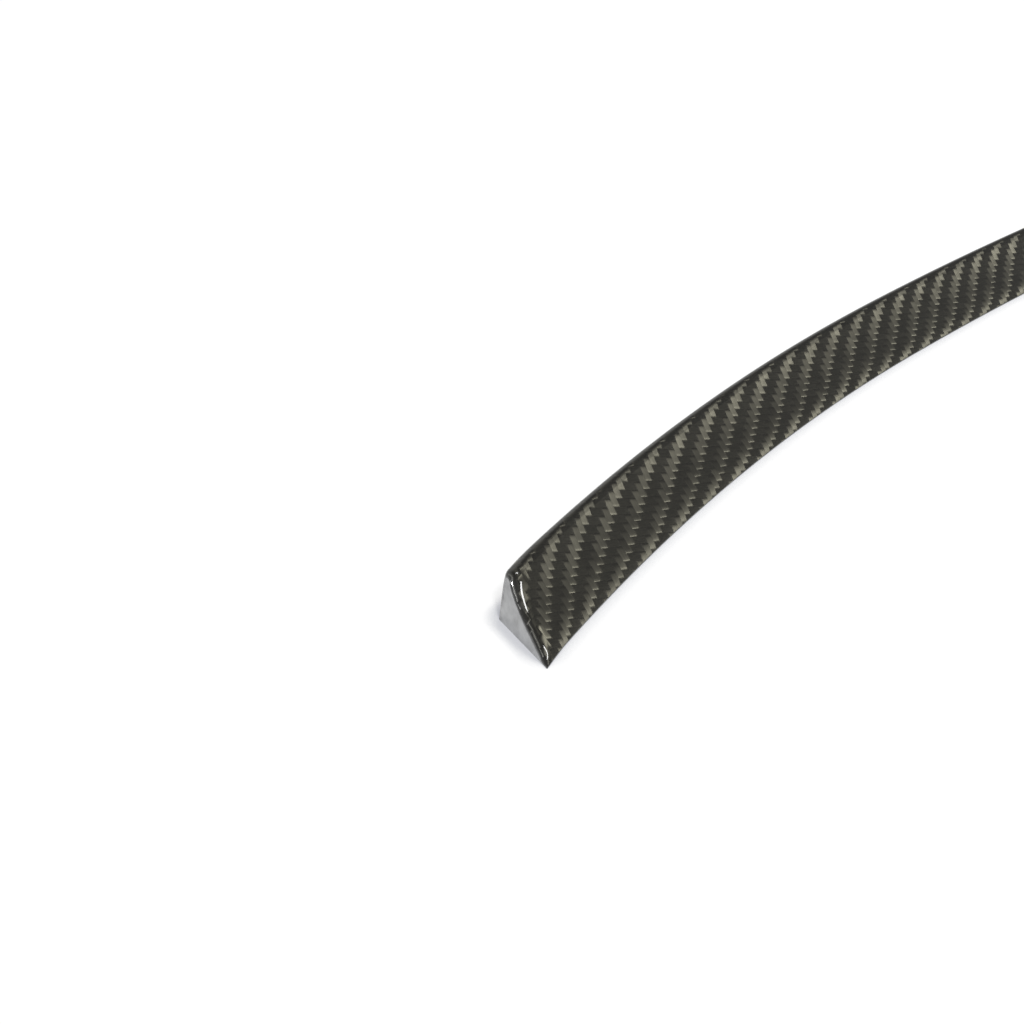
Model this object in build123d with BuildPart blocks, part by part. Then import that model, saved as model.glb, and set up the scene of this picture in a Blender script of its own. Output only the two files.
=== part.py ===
from build123d import *
from math import acos, asin, atan2, cos, degrees, hypot, radians, sin, sqrt
import os

# Gurney flap for a boot lid: one moulded strip, bowed in plan, that is bonded down on its flat base.
# X is across the car, +Y is rearward (the outside of the bow) and +Z is up, with the base on Z = 0.

# Plan, measured along the rear edge of the base
centre_span = 764.0  # lateral reach of the gently bowed middle
end_span = 155.0  # lateral reach of each end, which sweeps forward more tightly
centre_radius = 1402.0
end_radius = 662.0

# Section, measured square to the bow
base_depth = 16.0
crest_height = 11.6
lip_thickness = 1.0
ramp_straight = 7.3  # flat lower part of the ramp, up from the lip
ramp_radius = 25.4  # hollow that turns the ramp up towards the crest
rear_draft = 3.0
edge_radius = 1.5  # round along the crest and round both ends

# Ends, cut straight fore and aft
end_draft = 7.0  # lean of the end faces towards the middle
trim_allowance = 6.0  # length swept past each cut before it is trimmed

# Section in its own axes: x forward from the foot of the rear face, y up.
# The crest's round touches the rear face and the hollow, whose centre is found from
# the triangle that it makes with the lip and the centre of the crest's round.
rear_slope = radians(rear_draft)
up_rear = Vector(sin(rear_slope), cos(rear_slope))
crest_y = crest_height - edge_radius
crest_centre = Vector((edge_radius + crest_y * sin(rear_slope)) / cos(rear_slope), crest_y)
lip_foot = Vector(base_depth, 0)
lip_top = Vector(base_depth, lip_thickness)
lip_to_crest = crest_centre - lip_top
lip_to_hollow = hypot(ramp_straight, ramp_radius)
crest_to_hollow = ramp_radius + edge_radius
squares = lip_to_crest.length**2 + lip_to_hollow**2 - crest_to_hollow**2
angle_at_lip = acos(squares / (2 * lip_to_crest.length * lip_to_hollow))
towards_hollow = lip_to_crest.normalized().rotate(Axis.Z, -degrees(angle_at_lip))
up_ramp = towards_hollow.rotate(Axis.Z, degrees(atan2(ramp_radius, ramp_straight)))
hollow_centre = lip_top + towards_hollow * lip_to_hollow
ramp_top = lip_top + up_ramp * ramp_straight

# Sharp corner where the rear face, carried on upwards, meets the hollow
level = hollow_centre.dot(up_rear)
rear_length = level - sqrt(level**2 - hollow_centre.dot(hollow_centre) + ramp_radius**2)
sharp_crest = up_rear * rear_length

with BuildSketch() as section:
    with BuildLine():
        ramp = Line(lip_top, ramp_top)
        TangentArc(ramp_top, sharp_crest, tangent=ramp % 1)
        Polyline(sharp_crest, (0, 0), lip_foot, lip_top)
    make_face()

# Bow in plan: a middle arc about one upright axis, and tangent end arcs about their own
joint_angle = asin(centre_span / 2 / centre_radius)
axis_step = centre_radius - end_radius
end_axis_x = axis_step * sin(joint_angle)
end_axis_y = axis_step * cos(joint_angle) - centre_radius
end_x = centre_span / 2 + end_span
tip_angle = asin((end_x - end_axis_x) / (end_radius - base_depth))
sweep_angle = tip_angle + trim_allowance / end_radius - joint_angle
end_lean = radians(end_draft)


def joint_plane(side):
    """Plane square to the bow where the middle meets an end, turned to the section's axes."""
    forward = Vector(-side * sin(joint_angle), -cos(joint_angle), 0)
    rear_edge = Vector(0, -centre_radius, 0) - forward * centre_radius
    return Plane(rear_edge, x_dir=forward, z_dir=forward.cross(Vector(0, 0, 1)))


with BuildPart() as flap:
    with BuildSketch(joint_plane(-1)):
        add(section.sketch)
    revolve(axis=Axis((0, -centre_radius, 0), (0, 0, 1)), revolution_arc=-2 * degrees(joint_angle))
    for side in (-1, 1):
        with BuildSketch(joint_plane(side)):
            add(section.sketch)
        end_axis = Axis((side * end_axis_x, end_axis_y, 0), (0, 0, 1))
        revolve(axis=end_axis, revolution_arc=-side * degrees(sweep_angle))
        end_cut = Plane((side * end_x, 0, 0), z_dir=(side * cos(end_lean), 0, sin(end_lean)))
        split(bisect_by=end_cut, keep=Keep.BOTTOM)
    # One round runs along the crest and down round both ends, and the base stays sharp
    end_faces = flap.faces().sort_by(Axis.X)
    left_edges = end_faces[0].edges().sort_by(Axis.Z)[1:]
    right_edges = end_faces[-1].edges().sort_by(Axis.Z)[1:]
    crest_edges = flap.edges().filter_by_position(Axis.Z, crest_height, 2 * rear_length)
    crest_edges = crest_edges.filter_by(GeomType.CIRCLE)
    fillet(left_edges + crest_edges + right_edges, radius=edge_radius)

# The origin is on the base, under the middle of the part's box
middle = flap.part.bounding_box().center()
flap_moulding = flap.part.moved(Location((0, -middle.Y, 0)))
flap_moulding.label = "flap"
print("box", flap_moulding.bounding_box().size, "volume", round(flap_moulding.volume), "mm3")

os.makedirs("parts", exist_ok=True)
export_step(flap_moulding, "parts/flap.step")
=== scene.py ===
# %% [markdown]
# # A gurney flap in lacquered carbon cloth
#
# The real part is one moulded strip, a little over a metre long and only about 12 mm high.
# It is bonded to the rear edge of a boot lid, and it is bowed in plan to follow that edge.
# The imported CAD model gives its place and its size, in metres, with the base on Z = 0.
# This file dresses it: a finer mesh of the same form, a woven finish under clear lacquer,
# a pale floor, soft light, and the camera that the photograph was taken from.

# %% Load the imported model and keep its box
import math

import bmesh
import bpy
from mathutils import Matrix, Vector


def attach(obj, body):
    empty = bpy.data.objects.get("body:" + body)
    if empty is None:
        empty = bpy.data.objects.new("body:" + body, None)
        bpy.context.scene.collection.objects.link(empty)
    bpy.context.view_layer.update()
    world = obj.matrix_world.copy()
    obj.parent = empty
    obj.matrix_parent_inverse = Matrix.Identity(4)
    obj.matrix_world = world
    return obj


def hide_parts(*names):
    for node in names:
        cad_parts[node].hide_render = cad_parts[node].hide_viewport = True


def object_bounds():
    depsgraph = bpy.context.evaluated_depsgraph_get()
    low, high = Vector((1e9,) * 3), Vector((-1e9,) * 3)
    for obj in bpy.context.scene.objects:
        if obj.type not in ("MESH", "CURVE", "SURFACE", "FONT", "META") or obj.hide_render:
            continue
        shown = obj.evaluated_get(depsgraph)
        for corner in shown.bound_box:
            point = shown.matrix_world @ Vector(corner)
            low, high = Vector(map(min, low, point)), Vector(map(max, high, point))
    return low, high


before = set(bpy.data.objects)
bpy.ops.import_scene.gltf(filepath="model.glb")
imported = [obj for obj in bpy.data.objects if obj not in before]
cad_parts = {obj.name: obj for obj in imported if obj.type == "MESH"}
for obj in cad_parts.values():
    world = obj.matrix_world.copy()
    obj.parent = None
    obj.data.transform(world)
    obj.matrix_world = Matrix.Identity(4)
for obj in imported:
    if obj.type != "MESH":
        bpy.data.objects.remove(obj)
cad_low, cad_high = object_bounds()
scene = bpy.context.scene
scene.view_settings.view_transform = "Standard"
print("CAD box in mm:", [round(1000 * side, 1) for side in cad_high - cad_low])

# %% [markdown]
# ## The camera
#
# The photograph looks down on the left end from close by, so the far end runs out of the picture.
# The camera could be aimed by eye, but here its height, heading and lens come from fitting
# the edges of the strip, so they are written as the numbers a photographer would note.

# %% Camera
MM = 0.001
CAMERA_PLACE = Vector((-651.56, -256.18, 169.38)) * MM
LOOKING_DOWN = math.radians(31.544)
HEADING = math.radians(29.856)  # from straight ahead (+Y) towards the right (+X)

lens = bpy.data.cameras.new("photo_camera")
lens.sensor_width = 36.0
lens.lens = 50.48
lens.clip_start = 0.01
camera = bpy.data.objects.new("photo_camera", lens)
camera.location = CAMERA_PLACE
camera.rotation_euler = (math.pi / 2 - LOOKING_DOWN, 0.0, -HEADING)
scene.collection.objects.link(camera)
scene.camera = camera
print("camera height in mm:", round(camera.location.z / MM, 1))

# %% [markdown]
# ## The section
#
# Cut across, the flap is a small wedge: an almost upright rear face, a rounded crest,
# a hollow ramp that runs forward and down, and a thin rounded lip.
# The outline could be typed in point by point. It is drawn instead the way a draughtsman would,
# with a vertex that is pulled along straight runs and spun round the centres of the arcs,
# so every arc is true and meets its neighbours without a corner.

# %% Sizes of the section, as in the CAD source
BASE_DEPTH = 16.0 * MM
CREST_HEIGHT = 11.6 * MM
LIP_THICKNESS = 1.0 * MM
RAMP_STRAIGHT = 7.3 * MM
RAMP_RADIUS = 25.4 * MM
CREST_ROUND = 1.5 * MM
REAR_DRAFT = math.radians(3.0)

crest_centre = Vector((0.0, CREST_HEIGHT - CREST_ROUND))
crest_centre.x = (CREST_ROUND + crest_centre.y * math.sin(REAR_DRAFT)) / math.cos(REAR_DRAFT)
lip_top = Vector((BASE_DEPTH, LIP_THICKNESS))
lip_to_crest = crest_centre - lip_top
lip_to_hollow = math.hypot(RAMP_STRAIGHT, RAMP_RADIUS)
crest_to_hollow = RAMP_RADIUS + CREST_ROUND
squares = lip_to_crest.length**2 + lip_to_hollow**2 - crest_to_hollow**2
angle_at_lip = math.acos(squares / (2 * lip_to_crest.length * lip_to_hollow))
bearing_of_hollow = math.atan2(lip_to_crest.y, lip_to_crest.x) - angle_at_lip
towards_hollow = Vector((math.cos(bearing_of_hollow), math.sin(bearing_of_hollow)))
hollow_centre = lip_top + lip_to_hollow * towards_hollow
ramp_bearing = bearing_of_hollow + math.atan2(RAMP_RADIUS, RAMP_STRAIGHT)
ramp_slope = math.pi - ramp_bearing
crest_normal = math.atan2(hollow_centre.y - crest_centre.y, hollow_centre.x - crest_centre.x)
crest_slope = math.pi / 2 - crest_normal
slopes = [round(math.degrees(slope), 1) for slope in (ramp_slope, crest_slope)]
print("ramp slope at its foot and at the crest, in degrees:", slopes)

# %% [markdown]
# The section is drawn in the plane X = 0, at the rearmost point of the bow.
# Each vertex carries notes that later steps copy along the strip or fill in: its number round the section,
# how far it lies down the ramp from the crest, measured on the surface as the cloth lies,
# its turn on the bow, how far the cloth is folded over the edge of an end,
# and its share of the look of a cut face, which also sets how much painted shade darkens the rounded edges
# and the crest.

# %% Draw the section
REAR_Y = -cad_low.y
LIP_ROLL, LIP_NOSE = 9.0 * MM, 0.3 * MM  # the ramp rolls over gently before the thin nose
LIP_SLOPE = math.radians(54.0)


def at_middle(forward, up):
    """Point of the middle section, from its distance forward of the rear foot and its height."""
    return Vector((0.0, REAR_Y - forward, up))


def pull(mesh, vertex, end, steps):
    """Extrudes a vertex along a straight run to its end, and returns the last vertex."""
    start = vertex.co.copy()
    for step in range(1, steps + 1):
        vertex = bmesh.ops.extrude_vert_indiv(mesh, verts=[vertex])["verts"][0]
        vertex.co = start.lerp(end, step / steps)
    return vertex


def swing(mesh, vertex, centre, angle, steps):
    """Spins a vertex round a centre in the section, and returns the last vertex."""
    turned = bmesh.ops.spin(
        mesh, geom=[vertex], cent=at_middle(*centre), axis=(-1, 0, 0), angle=angle, steps=steps
    )
    return next(item for item in turned["geom_last"] if isinstance(item, bmesh.types.BMVert))


strip = bmesh.new()
station = strip.verts.layers.int.new("station")
cloth_down = strip.verts.layers.float.new("cloth_down")
cloth_turn = strip.verts.layers.float.new("cloth_turn")
cloth_fold = strip.verts.layers.float.new("cloth_fold")
cut_and_shade_share = strip.verts.layers.float.new("cut_and_shade_share")

rear_foot = strip.verts.new(at_middle(0.0, 0.0))
rear_out = Vector((-math.cos(REAR_DRAFT), math.sin(REAR_DRAFT)))
rear_top = pull(strip, rear_foot, at_middle(*(crest_centre + CREST_ROUND * rear_out)), 5)
crest_turn = math.pi - REAR_DRAFT - crest_normal
crest_end = swing(strip, rear_top, crest_centre, -crest_turn, 12)
ramp_top = swing(strip, crest_end, hollow_centre, crest_slope - ramp_slope, 14)
roll_start = Vector((BASE_DEPTH, 0.0))
roll_to_nose = LIP_ROLL - LIP_NOSE
roll_start.x += LIP_ROLL * math.sin(ramp_slope) - roll_to_nose * math.sin(LIP_SLOPE) - LIP_NOSE
roll_start.y = LIP_THICKNESS + (BASE_DEPTH - roll_start.x) * math.tan(ramp_slope)
roll_centre = roll_start - LIP_ROLL * Vector((math.sin(ramp_slope), math.cos(ramp_slope)))
nose_centre = roll_centre + roll_to_nose * Vector((math.sin(LIP_SLOPE), math.cos(LIP_SLOPE)))
roll_top = pull(strip, ramp_top, at_middle(*roll_start), 5)
nose_top = swing(strip, roll_top, roll_centre, ramp_slope - LIP_SLOPE, 8)
lip_front = swing(strip, nose_top, nose_centre, LIP_SLOPE - math.pi / 2, 4)
lip_foot = pull(strip, lip_front, at_middle(BASE_DEPTH, 0.0), 1)
strip.verts.ensure_lookup_table()
print("section vertices:", len(strip.verts), "lip front", lip_front.co)

# %% Number the vertices and measure the cloth's way over them
outline = [vertex.co.copy() for vertex in strip.verts]
highest = max(range(len(outline)), key=lambda number: outline[number].z)
crest_end_number = crest_end.index
CREST_SHADE_SHARE = 0.27  # painted shade: the crest's fibres are darkened as at the start of a cut, which dims their highlight there
way = [0.0]
for before, after in zip(outline, outline[1:]):
    way.append(way[-1] + (after - before).length)
for vertex in strip.verts:
    vertex[station] = vertex.index
    vertex[cloth_down] = way[vertex.index] - way[highest]
    if rear_top.index < vertex.index <= crest_end_number + 1:
        vertex[cut_and_shade_share] = CREST_SHADE_SHARE
strip.edges.new((lip_foot, rear_foot))
ways = [round(foot[cloth_down] / MM, 1) for foot in (rear_foot, lip_foot)]
print("cloth's way from the crest to the rear foot and to the lip, in mm:", ways)

# %% [markdown]
# ## The bow
#
# Seen from above, the flap is three arcs: a gentle one in the middle and a tighter one at each end.
# The section is turned round to the left end, then spun about the three centres, one after another.
# Each spin starts from the ring where the last one stopped, so the strip is one mesh with no seams.

# %% Centres of the bow, as in the CAD source
CENTRE_SPAN = 764.0 * MM
END_SPAN = 155.0 * MM
CENTRE_RADIUS = 1402.0 * MM
END_RADIUS = 662.0 * MM
END_MARGIN = math.radians(1.0)  # length of arc kept back at each end for its rounded edge
LEFT, RIGHT = 1, -1  # a turn to the left is positive seen from above

joint_turn = math.asin(CENTRE_SPAN / 2 / CENTRE_RADIUS)
end_x = CENTRE_SPAN / 2 + END_SPAN
middle_axis = Vector((0.0, REAR_Y - CENTRE_RADIUS, 0.0))
axis_step = CENTRE_RADIUS - END_RADIUS


def end_axis(side):
    """Centre of one end's arc, on the line from the middle's centre to the joint."""
    rearward = Vector((-side * math.sin(joint_turn), math.cos(joint_turn), 0.0))
    return middle_axis + axis_step * rearward


end_reach_x = end_x - axis_step * math.sin(joint_turn)
last_turn = math.asin(end_reach_x / END_RADIUS) - END_MARGIN
turns_found = [round(math.degrees(turn), 2) for turn in (joint_turn, last_turn)]
print("turn of the bow at the joint and at the last ring, in degrees:", turns_found)

# %% Spin the section along the bow
END_STEPS, MIDDLE_STEPS = 36, 104
UPRIGHT = Vector((0, 0, 1))
SLACK = 1e-6  # allowance for rounding when two measures are compared
end_sweep = last_turn - joint_turn
start_ring = list(strip.edges)
for centre, turn in ((middle_axis, joint_turn), (end_axis(LEFT), end_sweep)):
    bmesh.ops.rotate(strip, verts=strip.verts, cent=centre, matrix=Matrix.Rotation(turn, 3, "Z"))
ring = start_ring
runs = (
    (end_axis(LEFT), end_sweep, END_STEPS),
    (middle_axis, 2 * joint_turn, MIDDLE_STEPS),
    (end_axis(RIGHT), end_sweep, END_STEPS),
)
for centre, sweep, steps in runs:
    moved = ring + list({vertex for edge in ring for vertex in edge.verts})
    spun = bmesh.ops.spin(strip, geom=moved, cent=centre, axis=UPRIGHT, angle=-sweep, steps=steps)
    ring = [item for item in spun["geom_last"] if isinstance(item, bmesh.types.BMEdge)]
for vertex in strip.verts:
    offset = vertex.co - middle_axis
    turn = math.atan2(-offset.x, offset.y)
    if abs(turn) > joint_turn + SLACK:
        side = LEFT if turn > 0 else RIGHT
        offset = vertex.co - end_axis(side)
        turn = math.atan2(-offset.x, offset.y)
    vertex[cloth_turn] = turn
print("strip so far:", len(strip.verts), "vertices,", len(strip.faces), "faces")

# %% [markdown]
# ## The ends
#
# Both ends are cut straight fore and aft, lean a little towards the middle, and have soft edges.
# A bevel would be the usual tool, but the crest is itself a tight round, and a bevel wider than
# that round folds over on itself. So the last ring is extruded a step at a time along a curve
# that leaves the ramp before the cut and lands on the cut face below it. How far before and
# how far below is chosen for each vertex: close on the rear face, widest just in front of the crest,
# narrower down the ramp and fine at the lip.

# %% Where each edge of the end starts and lands
END_DRAFT = math.radians(7.0)
REAR_LEAD, REAR_LAND = 1.6 * MM, 1.1 * MM
RAMP_LEAD, RAMP_LAND = 3.2 * MM, 1.5 * MM
CREST_LEAD, CREST_LAND = 5.2 * MM, 1.4 * MM
WIDEN_BEFORE, WIDEN_RUN = 2 * MM, 4 * MM  # the edge widens from just behind the end of the crest
NARROW_AFTER, NARROW_RUN = 3 * MM, 6 * MM  # and narrows again a little way down the ramp
LAND_GROWTH = 0.2  # landing gained for each length down from the crest
LIP_SHARE, LIP_KEPT, LEAST_LAND = 0.85, 0.1 * MM, 0.15 * MM  # share of the lip's height that is rounded
LEAST_UPWARD = 0.2  # keeps the share finite on the upright front of the lip
corners = [Vector((REAR_Y - point.y, point.z)) for point in outline]
outward = []
for number, corner in enumerate(corners):
    before = corners[max(number - 1, 0)]
    after = corners[min(number + 1, len(corners) - 1)]
    along = (after - before).normalized()
    outward.append(Vector((-along.y, along.x)))
outward[0] = rear_out
outward[-1] = Vector((1.0, 0.0))


def end_reach(number):
    """Lead before the cut, and landing below the edge, of one vertex of the section."""
    down = way[number] - way[crest_end_number]
    rise = min(1.0, max(0.0, (down + WIDEN_BEFORE) / WIDEN_RUN))
    fall = min(1.0, max(0.0, (down - NARROW_AFTER) / NARROW_RUN))
    lead = REAR_LEAD + (CREST_LEAD - REAR_LEAD) * rise - (CREST_LEAD - RAMP_LEAD) * fall
    land = min(CREST_LAND, REAR_LAND + LAND_GROWTH * max(0.0, down)) - (CREST_LAND - RAMP_LAND) * fall
    height = max(0.0, corners[number].y - LIP_KEPT)
    room = LIP_SHARE * height / max(LEAST_UPWARD, outward[number].y)
    return lead, land if down <= 0 else min(land, max(LEAST_LAND, room))


widest = max(end_reach(number)[0] for number in range(len(corners)))
print("edge of the end starts up to", round(widest / MM, 2), "mm before the cut")

# %% One step of an end
def extruded(edges):
    """Extrudes a chain of edges, and returns the new vertices and edges."""
    made = bmesh.ops.extrude_edge_only(strip, edges=edges)["geom"]
    verts = {item for item in made if isinstance(item, bmesh.types.BMVert)}
    chain = [item for item in made if isinstance(item, bmesh.types.BMEdge)]
    return verts, [edge for edge in chain if set(edge.verts) <= verts]


def on_bow(number, turn, side):
    """Place of a vertex of the section at a turn of an end's arc, and its outward direction there."""
    rearward = Vector((-side * math.sin(turn), math.cos(turn), 0.0))
    level = end_axis(side) + (END_RADIUS - corners[number].x) * rearward
    return level + corners[number].y * UPRIGHT, outward[number].y * UPRIGHT - outward[number].x * rearward


left_foot, _ = on_bow(0, last_turn, LEFT)
print("rear foot of the left ring in mm:", [round(place / MM, 1) for place in left_foot])

# %% Roll the edges of the ends
ROUND_STEPS, LEAD_STEPS = 14, 4
ROUNDNESS = 0.55  # weight of the sharp edge in the curve: an arc has about 0.7, a chamfer 0


def rounded_end(edges, side):
    """Extrudes the last ring up to the edge and over to the cut, and closes it with a face."""
    cut_out = Vector((-side * math.cos(END_DRAFT), 0.0, math.sin(END_DRAFT)))
    turns, curves = {}, {}
    for number, corner in enumerate(corners):
        lead, land = end_reach(number)
        reach = end_reach_x - corner.y * math.tan(END_DRAFT)
        turn = math.asin(reach / (END_RADIUS - corner.x))
        edge, facing = on_bow(number, turn, side)
        turns[number] = turn - lead / (END_RADIUS - corner.x)
        inward = (facing.dot(cut_out) * cut_out - facing).normalized()
        curves[number] = (on_bow(number, turns[number], side)[0], edge, edge + land * inward)
    for step in range(1, LEAD_STEPS + 1):
        verts, edges = extruded(edges)
        for vertex in verts:
            turn = last_turn + (turns[vertex[station]] - last_turn) * step / LEAD_STEPS
            vertex.co = on_bow(vertex[station], turn, side)[0]
            vertex[cloth_turn] = side * turn
    for step in range(1, ROUND_STEPS + 1):
        verts, edges = extruded(edges)
        share = step / ROUND_STEPS
        for vertex in verts:
            start, edge, landing = curves[vertex[station]]
            pull_start, pull_landing = (1 - share) ** 2, share**2
            pull_edge = 2 * ROUNDNESS * share * (1 - share)
            place = pull_start * start + pull_edge * edge + pull_landing * landing
            place /= pull_start + pull_edge + pull_landing
            if vertex[station] in (0, len(corners) - 1):
                place.z = 0.0
            vertex[cloth_fold] -= side * (place - vertex.co).length
            vertex[cut_and_shade_share] = max(vertex[cut_and_shade_share], share)
            vertex.co = place
    return bmesh.ops.contextual_create(strip, geom=edges)["faces"]


caps = rounded_end(start_ring, LEFT) + rounded_end(ring, RIGHT)
print("end faces:", len(caps), "strip:", len(strip.verts), "vertices")

# %% Soften the upper corners
SOFT_REACH, SOFT_DROP = 8.0 * MM, 1.0 * MM  # the crest dips towards the cut
SOFT_DEPTH, SOFT_SHIFT = 5.0 * MM, 0.4 * MM  # and the top of the cut leans in
REAR_FLARE, FRONT_FLARE = 0.35 * MM, 0.65 * MM  # the foot spreads a little at the cut
for vertex in strip.verts:
    height = vertex.co.z
    from_cut = end_x - height * math.tan(END_DRAFT) - abs(vertex.co.x)
    near = max(0.0, 1 - from_cut / SOFT_REACH)
    top = max(0.0, 1 - (CREST_HEIGHT - height) / SOFT_DEPTH)
    vertex.co.z -= SOFT_DROP * near**2 * (height / CREST_HEIGHT) ** 4
    vertex.co.x -= math.copysign(SOFT_SHIFT * near * top**2, vertex.co.x)
    forward = corners[vertex[station]].x / BASE_DEPTH
    vertex.co.y += near**2 * (REAR_FLARE * (1 - forward) ** 4 - FRONT_FLARE * forward**4)
print("lowered the crest at the ends by up to", SOFT_DROP / MM, "mm")

# %% Merge, face outwards and close the mesh
MERGED, SHARP = 0.004 * MM, math.radians(35)
bmesh.ops.remove_doubles(strip, verts=strip.verts, dist=MERGED)
bmesh.ops.recalc_face_normals(strip, faces=strip.faces)
for face in strip.faces:
    face.smooth = True
for edge in strip.edges:
    if len(edge.link_faces) == 2 and edge.calc_face_angle() > SHARP:
        edge.smooth = False
open_edges = sum(1 for edge in strip.edges if len(edge.link_faces) != 2)
print("open edges:", open_edges, "volume in mm3:", round(strip.calc_volume() / MM**3))

# %% [markdown]
# ## How the cloth lies
#
# The weave is a 2x2 twill: every bundle of fibres, called a tow, passes over two others and under two.
# The sheet was laid with one set of tows straight across the car, and it turns with the ramp
# as the bow turns. A flat projection would stretch it on the slopes, so each corner gets a place
# on the unrolled cloth: across the car and down the ramp, counted in tows.
# Near the ends the cloth was squeezed a little, more so towards the lip.

# %% Lay the cloth on the mesh
TOW = 2.0 * MM
SHEAR = 0.0278
RAMP_LEAN = math.radians(32.25)
FOLLOW = math.cos(RAMP_LEAN)  # how far the cloth on the sloping ramp turns for a turn of the bow
SQUEEZE, SQUEEZE_REACH = 8 * MM, 30.0 * MM
SQUEEZE_AT_CREST, SQUEEZE_GAIN = 0.6, 0.6  # share at the crest, and what each SQUEEZE_RUN down adds
SQUEEZE_RUN, SQUEEZE_END = 15 * MM, 20 * MM
ACROSS_START, DOWN_START = 0.6, -0.39
MIDDLE_HEIGHT = 3.2 * MM
on_ramp = range(highest, len(corners))
ramp_middle = next(number for number in on_ramp if corners[number].y < MIDDLE_HEIGHT)
down_middle = way[ramp_middle] - way[highest]
middle_reach = CENTRE_RADIUS - corners[ramp_middle].x
ramp_end_radius = END_RADIUS - corners[ramp_middle].x


def cloth_place(turn, down, x):
    """Tows across and down to a point, from its turn on the bow, its way down the ramp and its X."""
    side = 1 if turn > 0 else -1
    lay, lay_joint = FOLLOW * abs(turn), FOLLOW * joint_turn
    first, rest = min(lay, lay_joint), max(lay, lay_joint)
    across = middle_reach * math.sin(first)
    across += ramp_end_radius * (math.sin(rest) - math.sin(lay_joint))
    drop = middle_reach * (1 - math.cos(first))
    drop += ramp_end_radius * (math.cos(lay_joint) - math.cos(rest))
    across = -side * across / FOLLOW + (down - down_middle) * math.sin(FOLLOW * turn)
    drop = drop / FOLLOW + (down - down_middle) * math.cos(FOLLOW * turn)
    near = max(0.0, 1 - (end_x - abs(x)) / SQUEEZE_REACH)
    share = SQUEEZE_AT_CREST + SQUEEZE_GAIN * min(max(down, 0.0), SQUEEZE_END) / SQUEEZE_RUN
    across -= side * SQUEEZE * near**2 * share
    tows_across = (1 + 2 * SHEAR) * across / TOW - 2 * SHEAR * drop / TOW
    tows_down = (1 + 2 * SHEAR) * drop / TOW - 2 * SHEAR * across / TOW
    return tows_across, tows_down


def cloth_at(vertex, down):
    """Place on the cloth, in tows, of a vertex at its way down the ramp."""
    across, drop = cloth_place(vertex[cloth_turn], down, vertex.co.x)
    return Vector((ACROSS_START + across + vertex[cloth_fold] / TOW, DOWN_START + drop))


cloth = strip.loops.layers.uv.new("cloth")
for face in strip.faces:
    on_base = all(abs(vertex.co.z) < SLACK for vertex in face.verts)
    for loop in face.loops:
        down = loop.vert[cloth_down]
        if on_base and loop.vert[station] == len(corners) - 1:
            down = -way[highest] - BASE_DEPTH
        loop[cloth].uv = cloth_at(loop.vert, down)
print("cloth laid on", len(strip.faces), "faces")

# %% Lay the cloth on the cut faces
CUT_SLOPE = math.radians(40.0)  # the ramp's edge on the cut, on average
for cap in caps:
    side = LEFT if cap.normal.x < 0 else RIGHT
    start = next(vertex for vertex in cap.verts if vertex[station] == ramp_middle)
    start_place = cloth_at(start, start[cloth_down])
    for loop in cap.loops:
        forward, up = start.co.y - loop.vert.co.y, loop.vert.co.z - start.co.z
        along_edge = forward * math.cos(CUT_SLOPE) - up * math.sin(CUT_SLOPE)
        below_edge = -forward * math.sin(CUT_SLOPE) - up * math.cos(CUT_SLOPE)
        loop[cloth].uv = start_place + Vector((-side * below_edge, along_edge)) / TOW
print("cloth laid on", len(caps), "cut faces")

# %% Make the object
mesh = bpy.data.meshes.new("carbon_flap")
strip.to_mesh(mesh)
strip.free()
flap = bpy.data.objects.new("carbon_flap", mesh)
scene.collection.objects.link(flap)
weighted = flap.modifiers.new("even_shading", "WEIGHTED_NORMAL")
weighted.keep_sharp = True
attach(flap, "root")
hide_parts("flap")
print("flap:", len(mesh.polygons), "faces")

# %% [markdown]
# ## The woven finish
#
# Carbon fibre is black, yet the weave shows, because a bundle of fine smooth fibres shines
# like a brush of hair. It reflects a light only where the light, the eye and the run of the fibres agree,
# so the tows that run down the ramp light up where those that run across it stay dark.
# An image of a weave would show the same light and dark from every side.
# Here the nodes work out which tow is on top and how it bends, and an anisotropic
# shader with a clear coat does the rest, so the pattern flashes as it does in the hand.
# The helpers below add a node in one line. They work on whichever tree is current,
# so the floor and the room use them too.

# %% Node helpers
carbon = bpy.data.materials.new("lacquered_carbon")
carbon.use_nodes = True
tree = carbon.node_tree
shader = tree.nodes["Principled BSDF"]


def feed(socket, value):
    """Links a socket, or sets it when the value is a number."""
    if isinstance(value, bpy.types.NodeSocket):
        tree.links.new(value, socket)
    else:
        socket.default_value = value


def calc(operation, *values):
    """Adds a Math node and returns its result."""
    node = tree.nodes.new("ShaderNodeMath")
    node.operation = operation
    for socket, value in zip(node.inputs, values):
        feed(socket, value)
    return node.outputs[0]


def blend(share, first, second):
    """Adds a float Mix node: first where share is 0, second where it is 1."""
    node = tree.nodes.new("ShaderNodeMix")
    feed(node.inputs[0], share)
    feed(node.inputs[2], first)
    feed(node.inputs[3], second)
    return node.outputs[0]


def vector(x, y, z):
    """Adds a Combine XYZ node."""
    node = tree.nodes.new("ShaderNodeCombineXYZ")
    for socket, value in zip(node.inputs, (x, y, z)):
        feed(socket, value)
    return node.outputs[0]


print("finish starts from", shader.name)

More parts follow.
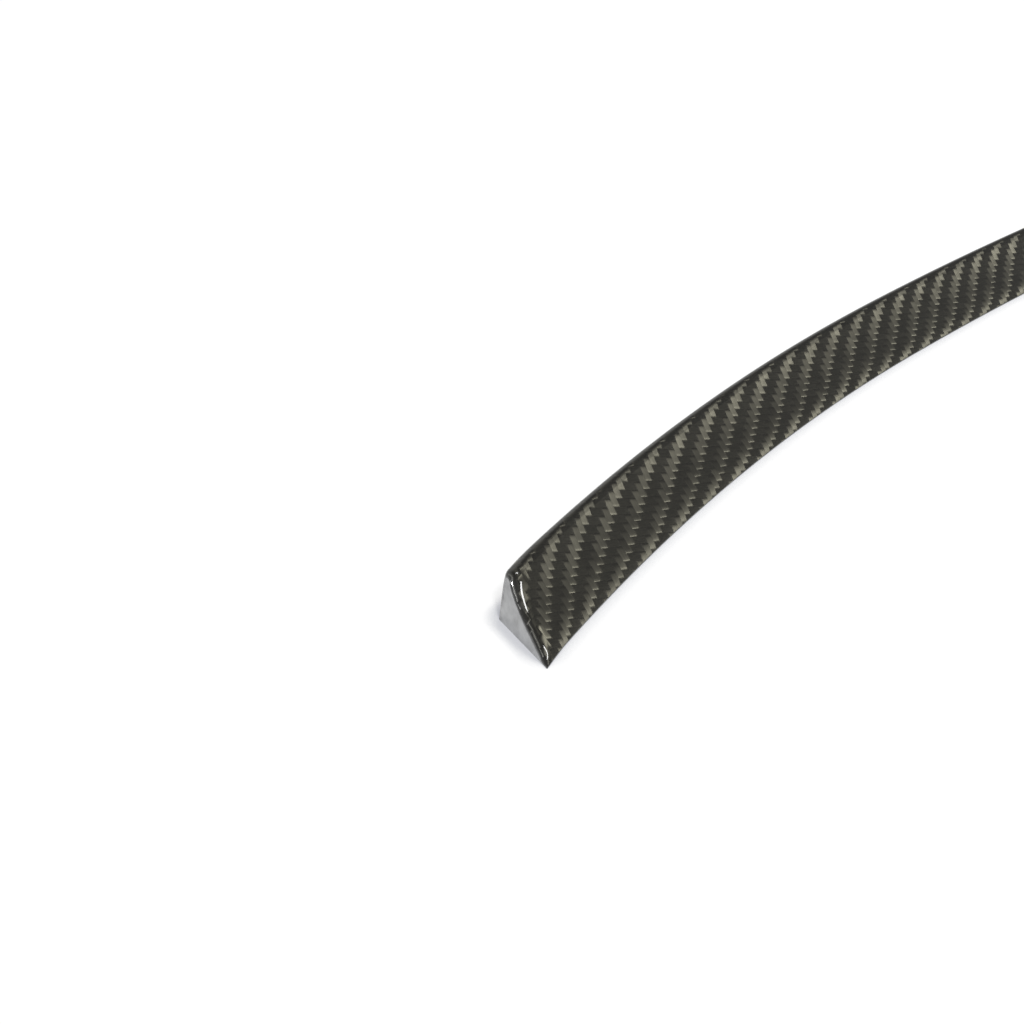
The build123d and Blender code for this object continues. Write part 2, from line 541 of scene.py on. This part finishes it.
# %% Which tow is on top
REPEAT = 4.0  # tows in one repeat of the twill, of which two are on top
COLUMN_CENTRE, ROW_CENTRE = 1.0, 3.0  # middle of a float in the repeat
cloth_map = tree.nodes.new("ShaderNodeUVMap")
cloth_map.uv_map = "cloth"
split = tree.nodes.new("ShaderNodeSeparateXYZ")
feed(split.inputs[0], cloth_map.outputs[0])
across, drop = split.outputs[0], split.outputs[1]
column = calc("FLOOR", across)
row = calc("FLOOR", drop)
side_of_column = calc("SUBTRACT", calc("FRACT", across), 0.5)
side_of_row = calc("SUBTRACT", calc("FRACT", drop), 0.5)
column_way = calc("ADD", drop, column)
row_way = calc("ADD", across, row)
along_column = calc("SUBTRACT", calc("FLOORED_MODULO", column_way, REPEAT), COLUMN_CENTRE)
along_row = calc("SUBTRACT", calc("FLOORED_MODULO", row_way, REPEAT), ROW_CENTRE)
row_on_top = calc("GREATER_THAN", calc("ABSOLUTE", along_column), 1.0)
side = blend(row_on_top, side_of_column, side_of_row)
along = blend(row_on_top, along_column, along_row)
print("nodes that choose the tow:", len(tree.nodes))

# %% [markdown]
# A float is the stretch of a tow that lies on top. It is nearly flat along most of its length,
# dives at both ends under the tows that cross it, and is crowned from side to side.
# No two tows lie quite alike, so each float is tilted a little by chance,
# and fine streaks along the fibres break up its gloss. On a cut face the relief fades out.

# %% Chance tilt of a float and streaks of its fibres
ROW_LOTS = 500.0  # keeps the chances of the rows apart from those of the columns
STREAKS_PER_TOW, STREAK_LENGTH = 7.0, 1.6
float_of_column = calc("FLOOR", calc("MULTIPLY", column_way, 1 / REPEAT))
float_of_row = calc("FLOOR", calc("MULTIPLY", row_way, 1 / REPEAT))
tow = blend(row_on_top, column, calc("ADD", row, ROW_LOTS))
lot = tree.nodes.new("ShaderNodeTexWhiteNoise")
lot.noise_dimensions = "2D"
feed(lot.inputs["Vector"], vector(tow, blend(row_on_top, float_of_column, float_of_row), 0.0))
chance = calc("SUBTRACT", lot.outputs["Value"], 0.5)
streaks = tree.nodes.new("ShaderNodeTexNoise")
streaks.noise_dimensions = "2D"
streaks.inputs["Scale"].default_value = 1.0
streaks.inputs["Detail"].default_value = 2.0
over_fibres = calc("MULTIPLY", blend(row_on_top, across, drop), STREAKS_PER_TOW)
along_fibres = calc("MULTIPLY", blend(row_on_top, drop, across), 1 / STREAK_LENGTH)
feed(streaks.inputs["Vector"], vector(over_fibres, along_fibres, 0.0))
streak = calc("SUBTRACT", streaks.outputs["Fac"], 0.5)
print("streaks:", STREAKS_PER_TOW, "to a tow, each about", STREAK_LENGTH, "tows long")

# %% Relief of a float
DIP, DIVE, CROWN = 0.03, 6.0, 0.3
COLUMN_DIP, ROW_DIP = 0.42, 0.22
TILT, STREAK_TILT = 0.06, 0.12
CUT_ONSET = 4.0  # how late along the rounded edge the look of the cut face takes over
HALF = (0.5, 0.5, 0.5)
dive = calc("MULTIPLY", calc("POWER", calc("ABSOLUTE", along), DIVE), calc("SIGN", along))
dive = calc("MULTIPLY", dive, blend(row_on_top, COLUMN_DIP, ROW_DIP))
lean_along = calc("ADD", calc("MULTIPLY", along, DIP), dive)
lean_along = calc("ADD", lean_along, calc("MULTIPLY", chance, TILT))
lean_side = calc("ADD", calc("MULTIPLY", side, CROWN), calc("MULTIPLY", streak, STREAK_TILT))
cut = tree.nodes.new("ShaderNodeAttribute")
cut.attribute_name = "cut_and_shade_share"
on_cut = calc("POWER", cut.outputs["Fac"], CUT_ONSET)
lean_across = blend(on_cut, blend(row_on_top, lean_side, lean_along), 0.0)
lean_down = blend(on_cut, blend(row_on_top, lean_along, lean_side), 0.0)
unit = tree.nodes.new("ShaderNodeVectorMath")
unit.operation = "NORMALIZE"
feed(unit.inputs[0], vector(lean_across, lean_down, 1.0))
packed = tree.nodes.new("ShaderNodeVectorMath")
packed.operation = "MULTIPLY_ADD"
feed(packed.inputs[0], unit.outputs[0])
packed.inputs[1].default_value = HALF
packed.inputs[2].default_value = HALF
relief = tree.nodes.new("ShaderNodeNormalMap")
relief.space = "TANGENT"
relief.uv_map = "cloth"
feed(relief.inputs["Color"], packed.outputs[0])
feed(shader.inputs["Normal"], relief.outputs[0])
print("nodes with the relief:", len(tree.nodes))

# %% Colour of the fibres
# The columns, whose tows run down the ramp, are painted a little lighter than the rows: a painted share of
# the sheen that those tows catch.
COLUMN_TONE, ROW_TONE, EDGE_SHADE_TONE = 0.122, 0.11, 0.36
STREAK_SHARE, CHANCE_SHARE, GAP_SHARE = 0.5, 0.25, 0.25  # how much each changes the tone
GAP_STEEPNESS, GAP_SOFTNESS = 14.0, 0.2
EDGE_SHADE_START, EDGE_SHADE_STEEPNESS = 0.15, 5.0  # where the painted shade on the rounded edge starts, and how fast it deepens


def scaled(level, value, share, base):
    """Multiplies a level by the base and a share of a value."""
    return calc("MULTIPLY", level, calc("ADD", calc("MULTIPLY", value, share), base))


from_gap = calc("SUBTRACT", 0.5, calc("ABSOLUTE", side))
gap = calc("SMOOTH_MIN", calc("MULTIPLY", from_gap, GAP_STEEPNESS), 1.0, GAP_SOFTNESS)
tone = scaled(blend(row_on_top, COLUMN_TONE, ROW_TONE), streak, STREAK_SHARE, 1.0)
tone = scaled(tone, chance, CHANCE_SHARE, 1.0)
tone = scaled(tone, gap, GAP_SHARE, 1 - GAP_SHARE)
# Painted shade: the fibres are darkened over the rounded edges of the ends and over the crest, which dims
# their highlights there.
edge_shade = calc("MULTIPLY", calc("SUBTRACT", cut.outputs["Fac"], EDGE_SHADE_START), EDGE_SHADE_STEEPNESS)
edge_shade = calc("MAXIMUM", calc("MINIMUM", edge_shade, 1.0), 0.0)
tone = calc("MULTIPLY", tone, blend(edge_shade, 1.0, EDGE_SHADE_TONE))


def tinted(tint, level):
    """Adds a node that scales a tint by a level, and returns the colour."""
    node = tree.nodes.new("ShaderNodeVectorMath")
    node.operation = "SCALE"
    node.inputs[0].default_value = tint
    feed(node.inputs["Scale"], level)
    return node.outputs[0]


FIBRE_TINT = (1.0, 0.955, 0.74)
fibre_colour = tinted(FIBRE_TINT, tone)
print("nodes with the fibres' colour:", len(tree.nodes))

# %% Colour of the cut faces
CUT_TONE, CUT_TINT = 0.34, (0.98, 0.99, 1.0)
MOTTLE_SCALE, MOTTLE_BASE = 420.0, 0.5  # patches of a few millimetres in the resin
places = tree.nodes.new("ShaderNodeTexCoord")
mottle = tree.nodes.new("ShaderNodeTexNoise")
mottle.inputs["Scale"].default_value = MOTTLE_SCALE
mottle.inputs["Detail"].default_value = 3.0
feed(mottle.inputs["Vector"], places.outputs["Object"])
patches = calc("ADD", mottle.outputs["Fac"], MOTTLE_BASE)
cut_colour = tinted(CUT_TINT, calc("MULTIPLY", patches, CUT_TONE))
colours = tree.nodes.new("ShaderNodeMix")
colours.data_type = "RGBA"
feed(colours.inputs["Factor"], on_cut)
feed(colours.inputs["A"], fibre_colour)
feed(colours.inputs["B"], cut_colour)
feed(shader.inputs["Base Color"], colours.outputs["Result"])
print("nodes with both colours:", len(tree.nodes))

# %% Fibre gloss and lacquer
QUARTER_TURN = 0.25  # the fibres of a row run square to those of a column
fibre_way = tree.nodes.new("ShaderNodeTangent")
fibre_way.direction_type = "UV_MAP"
fibre_way.uv_map = "cloth"
feed(shader.inputs["Tangent"], fibre_way.outputs[0])
fibre_turn = blend(on_cut, calc("MULTIPLY", row_on_top, QUARTER_TURN), 0.0)
feed(shader.inputs["Anisotropic Rotation"], fibre_turn)
shader.inputs["Anisotropic"].default_value = 0.96
shader.inputs["Roughness"].default_value = 0.5
shader.inputs["Metallic"].default_value = 1.0
shader.inputs["Coat Weight"].default_value = 1.0
shader.inputs["Coat Roughness"].default_value = 0.03
shader.inputs["Coat IOR"].default_value = 1.7
mesh.materials.append(carbon)
print("finish:", len(tree.nodes), "nodes")

# %% [markdown]
# ## The floor and the light
#
# The strip lies on white paper. A plane lit by lamps alone would carry a long shadow, but the photograph
# shows only a narrow grey band along the lip and round the end, where the paper sees less of the room.
# So the paper is mostly a glow that the camera and the reflections see, with a little matt white under it
# for a faint shadow. The Ambient Occlusion node measures how closed in the paper is, and shades the glow.

# %% Floor
FLOOR_HALF = 4.0
floor_mesh = bpy.data.meshes.new("floor")
floor_shape = bmesh.new()
bmesh.ops.create_grid(floor_shape, x_segments=1, y_segments=1, size=FLOOR_HALF)
floor_shape.to_mesh(floor_mesh)
floor_shape.free()
floor = bpy.data.objects.new("floor", floor_mesh)
scene.collection.objects.link(floor)
print("floor:", 2 * FLOOR_HALF, "m wide")

# %% Paper
REACH, CLOSED_IN, OPEN_ENOUGH = 4.2 * MM, 0.79, 0.865
SHADE, OPEN = (0.50, 0.51, 0.55, 1), (1, 1, 1, 1)
PAPER, GLOW = (0.25, 0.25, 0.25, 1), 0.8
paper = bpy.data.materials.new("white_paper")
paper.use_nodes = True
tree = paper.node_tree
nodes = tree.nodes
nodes.remove(nodes["Principled BSDF"])
nearness = nodes.new("ShaderNodeAmbientOcclusion")
nearness.samples = 4
nearness.inputs["Distance"].default_value = REACH
openness = nodes.new("ShaderNodeMapRange")
feed(openness.inputs["Value"], nearness.outputs["AO"])
openness.inputs["From Min"].default_value = CLOSED_IN
openness.inputs["From Max"].default_value = OPEN_ENOUGH
shade = nodes.new("ShaderNodeMix")
shade.data_type = "RGBA"
feed(shade.inputs[0], openness.outputs[0])
shade.inputs["A"].default_value = SHADE
shade.inputs["B"].default_value = OPEN
matt = nodes.new("ShaderNodeBsdfDiffuse")
matt.inputs["Color"].default_value = PAPER
glow = nodes.new("ShaderNodeEmission")
feed(glow.inputs["Color"], shade.outputs["Result"])
rays = nodes.new("ShaderNodeLightPath")
seen = calc("MAXIMUM", rays.outputs["Is Camera Ray"], rays.outputs["Is Glossy Ray"])
feed(glow.inputs["Strength"], calc("MULTIPLY", seen, GLOW))
both = nodes.new("ShaderNodeAddShader")
feed(both.inputs[0], matt.outputs[0])
feed(both.inputs[1], glow.outputs[0])
feed(nodes["Material Output"].inputs["Surface"], both.outputs[0])
floor_mesh.materials.append(paper)
print("paper:", len(nodes), "nodes, glow", GLOW)

# %% [markdown]
# Three lights are enough. The key is a small sun in front of the strip, and it gives the ramp its sparkle.
# A long strip light stands where the rounded edge of the near end mirrors it towards the camera,
# which draws the thin white line there. The room gives the rest: dim, with a paler wall behind
# and a pale sweep low on the left that the cut face looks at.

# %% Key light
TO_KEY = Vector((-0.12, -0.60, 0.79))
sun_data = bpy.data.lights.new("key", "SUN")
sun_data.energy = 2.3
sun_data.angle = math.radians(9)
sun = bpy.data.objects.new("key", sun_data)
sun.rotation_euler = TO_KEY.to_track_quat("Z", "Y").to_euler()
scene.collection.objects.link(sun)
print("key light comes from", round(math.degrees(math.asin(TO_KEY.normalized().z))), "degrees up")

# %% Strip light for the edge of the near end
NEAR_EDGE = Vector((-530.0, -50.0, 6.0)) * MM
TO_STRIP_LOW = Vector((0.67, -0.42, 0.61))
TO_STRIP_HIGH = Vector((0.31, -0.14, 0.94))
STRIP_DISTANCE, STRIP_WIDTH, STRIP_RADIANCE = 1.2, 0.08, 13.0
to_strip = (TO_STRIP_LOW + TO_STRIP_HIGH).normalized()
strip_run = TO_STRIP_HIGH - TO_STRIP_LOW
strip_data = bpy.data.lights.new("edge_strip", "AREA")
strip_data.shape = "RECTANGLE"
strip_data.size = STRIP_DISTANCE * strip_run.length
strip_data.size_y = STRIP_WIDTH
strip_data.energy = STRIP_RADIANCE * math.pi * strip_data.size * strip_data.size_y
across_strip = to_strip.cross(strip_run).normalized()
along_strip = across_strip.cross(to_strip)
edge_strip = bpy.data.objects.new("edge_strip", strip_data)
edge_strip.location = NEAR_EDGE + STRIP_DISTANCE * to_strip
strip_axes = Matrix((along_strip, across_strip, to_strip)).transposed()
edge_strip.rotation_euler = strip_axes.to_euler()
scene.collection.objects.link(edge_strip)
print("strip light:", round(strip_data.size, 2), "m long,", round(strip_data.energy, 2), "W")

# %% Room
DIM, REAR_WALL, LEFT_SWEEP = 0.17, 0.4, 0.83
WALL_STARTS, WALL_FULL = 0.4, 0.8  # rearward part of the direction
SWEEP_FULL, SWEEP_ENDS = -0.8, -0.3  # sideways part
LOW_ENDS, HIGH_STARTS = 0.15, 0.75  # upward part
world = bpy.data.worlds.new("studio")
scene.world = world
world.use_nodes = True
tree = world.node_tree
nodes = tree.nodes


def fade(value, start, end, low, high):
    """Adds a smooth Map Range node."""
    node = nodes.new("ShaderNodeMapRange")
    node.interpolation_type = "SMOOTHSTEP"
    feed(node.inputs["Value"], value)
    limits = {"From Min": start, "From Max": end, "To Min": low, "To Max": high}
    for name, number in limits.items():
        node.inputs[name].default_value = number
    return node.outputs[0]


towards = nodes.new("ShaderNodeTexCoord")
split_towards = nodes.new("ShaderNodeSeparateXYZ")
feed(split_towards.inputs[0], towards.outputs["Generated"])
to_right, to_rear, to_top = split_towards.outputs
rear_wall = fade(to_rear, WALL_STARTS, WALL_FULL, 0.0, REAR_WALL)
on_left = fade(to_right, SWEEP_FULL, SWEEP_ENDS, LEFT_SWEEP, 0.0)
left_sweep = calc("MULTIPLY", on_left, fade(to_top, LOW_ENDS, HIGH_STARTS, 1.0, 0.0))
room_level = calc("ADD", calc("MAXIMUM", rear_wall, left_sweep), DIM)
sky_rays = nodes.new("ShaderNodeLightPath")
sky = nodes["Background"]
sky.inputs["Color"].default_value = (1, 1, 1, 1)
feed(sky.inputs["Strength"], calc("MAXIMUM", room_level, sky_rays.outputs["Is Camera Ray"]))
print("room:", DIM, "with", REAR_WALL, "more behind and", LEFT_SWEEP, "more low on the left")
